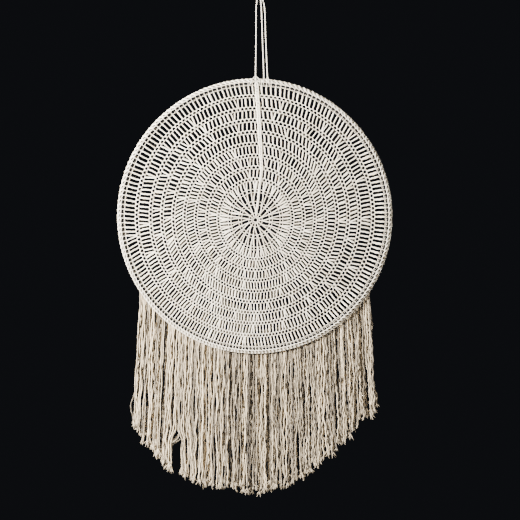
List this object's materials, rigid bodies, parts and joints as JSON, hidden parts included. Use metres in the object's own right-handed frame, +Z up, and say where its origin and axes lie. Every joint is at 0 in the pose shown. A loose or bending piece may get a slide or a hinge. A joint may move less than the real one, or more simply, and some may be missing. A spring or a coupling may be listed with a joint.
{
  "type": "crochet dream catcher",
  "caption": "Round crochet web stretched on a hidden wire hoop, with a long cotton fringe knotted to its lower rim and cotton cords, a knot and an eye to hang it by.",
  "frame": {"origin": "inside the top of the hanging eye, where it bears on the nail", "axes": "+X to the right seen from the front, +Y to the wall behind, +Z up"},
  "size_m": [0.5, 0.0208, 0.9613],
  "materials": {
    "web_cotton": "natural cotton yarn, matt",
    "fringe_cotton": "natural cotton cord, matt",
    "cord_cotton": "twisted cotton cord, matt",
    "hoop_wire": "darkened drawn wire"
  },
  "bodies": {
    "hanger": {"hanger_eye": "cord_cotton", "hanger_knot": "cord_cotton"},
    "cords": {"cord_left": "cord_cotton", "cord_inner": "cord_cotton", "cord_outer": "cord_cotton", "hitch_left": "cord_cotton", "hitch_right": "cord_cotton"},
    "hoop": {"hoop_ring": "hoop_wire", "rim_edging": "web_cotton", "crochet_web": "web_cotton", "fringe_knot_01": "fringe_cotton", "fringe_knot_02": "fringe_cotton", "fringe_knot_03": "fringe_cotton", "fringe_knot_04": "fringe_cotton", "fringe_knot_05": "fringe_cotton", "fringe_knot_06": "fringe_cotton", "fringe_knot_07": "fringe_cotton", "fringe_knot_08": "fringe_cotton", "fringe_knot_09": "fringe_cotton", "fringe_knot_10": "fringe_cotton", "fringe_knot_11": "fringe_cotton", "fringe_knot_12": "fringe_cotton", "fringe_knot_13": "fringe_cotton", "fringe_knot_14": "fringe_cotton", "fringe_knot_15": "fringe_cotton", "fringe_knot_16": "fringe_cotton", "fringe_knot_17": "fringe_cotton", "fringe_knot_18": "fringe_cotton", "fringe_knot_19": "fringe_cotton", "fringe_knot_20": "fringe_cotton"},
    "lock_01": {"fringe_lock_01": "fringe_cotton"},
    "lock_02": {"fringe_lock_02": "fringe_cotton"},
    "lock_03": {"fringe_lock_03": "fringe_cotton"},
    "lock_04": {"fringe_lock_04": "fringe_cotton"},
    "lock_05": {"fringe_lock_05": "fringe_cotton"},
    "lock_06": {"fringe_lock_06": "fringe_cotton"},
    "lock_07": {"fringe_lock_07": "fringe_cotton"},
    "lock_08": {"fringe_lock_08": "fringe_cotton"},
    "lock_09": {"fringe_lock_09": "fringe_cotton"},
    "lock_10": {"fringe_lock_10": "fringe_cotton"},
    "lock_11": {"fringe_lock_11": "fringe_cotton"},
    "lock_12": {"fringe_lock_12": "fringe_cotton"},
    "lock_13": {"fringe_lock_13": "fringe_cotton"},
    "lock_14": {"fringe_lock_14": "fringe_cotton"},
    "lock_15": {"fringe_lock_15": "fringe_cotton"},
    "lock_16": {"fringe_lock_16": "fringe_cotton"},
    "lock_17": {"fringe_lock_17": "fringe_cotton"},
    "lock_18": {"fringe_lock_18": "fringe_cotton"},
    "lock_19": {"fringe_lock_19": "fringe_cotton"},
    "lock_20": {"fringe_lock_20": "fringe_cotton"}
  },
  "joints": [
    {"name": "hanger_swing", "type": "hinge", "parent": "hanger", "child": "cords", "pos_m": [0, 0, -0.0345], "axis": [0, 1, 0], "range_deg": [-15, 15]},
    {"name": "hoop_tilt", "type": "hinge", "parent": "cords", "child": "hoop", "pos_m": [0.0015, 0, -0.2034], "axis": [1, 0, 0], "range_deg": [-25, 25]},
    {"name": "lock_01_swing", "type": "hinge", "parent": "hoop", "child": "lock_01", "pos_m": [-0.21294, 0.00655, -0.60496], "axis": [1, 0, 0], "range_deg": [-60, 60]},
    {"name": "lock_02_swing", "type": "hinge", "parent": "hoop", "child": "lock_02", "pos_m": [-0.19798, 0.00655, -0.62371], "axis": [1, 0, 0], "range_deg": [-60, 60]},
    {"name": "lock_03_swing", "type": "hinge", "parent": "hoop", "child": "lock_03", "pos_m": [-0.18094, 0.00655, -0.64097], "axis": [1, 0, 0], "range_deg": [-60, 60]},
    {"name": "lock_04_swing", "type": "hinge", "parent": "hoop", "child": "lock_04", "pos_m": [-0.16203, 0.00655, -0.65645], "axis": [1, 0, 0], "range_deg": [-60, 60]},
    {"name": "lock_05_swing", "type": "hinge", "parent": "hoop", "child": "lock_05", "pos_m": [-0.14144, 0.00655, -0.66993], "axis": [1, 0, 0], "range_deg": [-60, 60]},
    {"name": "lock_06_swing", "type": "hinge", "parent": "hoop", "child": "lock_06", "pos_m": [-0.1194, 0.00655, -0.68122], "axis": [1, 0, 0], "range_deg": [-60, 60]},
    {"name": "lock_07_swing", "type": "hinge", "parent": "hoop", "child": "lock_07", "pos_m": [-0.09614, 0.00655, -0.69017], "axis": [1, 0, 0], "range_deg": [-60, 60]},
    {"name": "lock_08_swing", "type": "hinge", "parent": "hoop", "child": "lock_08", "pos_m": [-0.07194, 0.00655, -0.69666], "axis": [1, 0, 0], "range_deg": [-60, 60]},
    {"name": "lock_09_swing", "type": "hinge", "parent": "hoop", "child": "lock_09", "pos_m": [-0.04704, 0.00655, -0.70062], "axis": [1, 0, 0], "range_deg": [-60, 60]},
    {"name": "lock_10_swing", "type": "hinge", "parent": "hoop", "child": "lock_10", "pos_m": [-0.02173, 0.00655, -0.702], "axis": [1, 0, 0], "range_deg": [-60, 60]},
    {"name": "lock_11_swing", "type": "hinge", "parent": "hoop", "child": "lock_11", "pos_m": [0.00373, 0.00655, -0.702], "axis": [1, 0, 0], "range_deg": [-60, 60]},
    {"name": "lock_12_swing", "type": "hinge", "parent": "hoop", "child": "lock_12", "pos_m": [0.02904, 0.00655, -0.70062], "axis": [1, 0, 0], "range_deg": [-60, 60]},
    {"name": "lock_13_swing", "type": "hinge", "parent": "hoop", "child": "lock_13", "pos_m": [0.05394, 0.00655, -0.69666], "axis": [1, 0, 0], "range_deg": [-60, 60]},
    {"name": "lock_14_swing", "type": "hinge", "parent": "hoop", "child": "lock_14", "pos_m": [0.07814, 0.00655, -0.69017], "axis": [1, 0, 0], "range_deg": [-60, 60]},
    {"name": "lock_15_swing", "type": "hinge", "parent": "hoop", "child": "lock_15", "pos_m": [0.10139, 0.00655, -0.68122], "axis": [1, 0, 0], "range_deg": [-60, 60]},
    {"name": "lock_16_swing", "type": "hinge", "parent": "hoop", "child": "lock_16", "pos_m": [0.12344, 0.00655, -0.66993], "axis": [1, 0, 0], "range_deg": [-60, 60]},
    {"name": "lock_17_swing", "type": "hinge", "parent": "hoop", "child": "lock_17", "pos_m": [0.14403, 0.00655, -0.65645], "axis": [1, 0, 0], "range_deg": [-60, 60]},
    {"name": "lock_18_swing", "type": "hinge", "parent": "hoop", "child": "lock_18", "pos_m": [0.16295, 0.00655, -0.64097], "axis": [1, 0, 0], "range_deg": [-60, 60]},
    {"name": "lock_19_swing", "type": "hinge", "parent": "hoop", "child": "lock_19", "pos_m": [0.17998, 0.00655, -0.62371], "axis": [1, 0, 0], "range_deg": [-60, 60]},
    {"name": "lock_20_swing", "type": "hinge", "parent": "hoop", "child": "lock_20", "pos_m": [0.19494, 0.00655, -0.60496], "axis": [1, 0, 0], "range_deg": [-60, 60]}
  ]
}
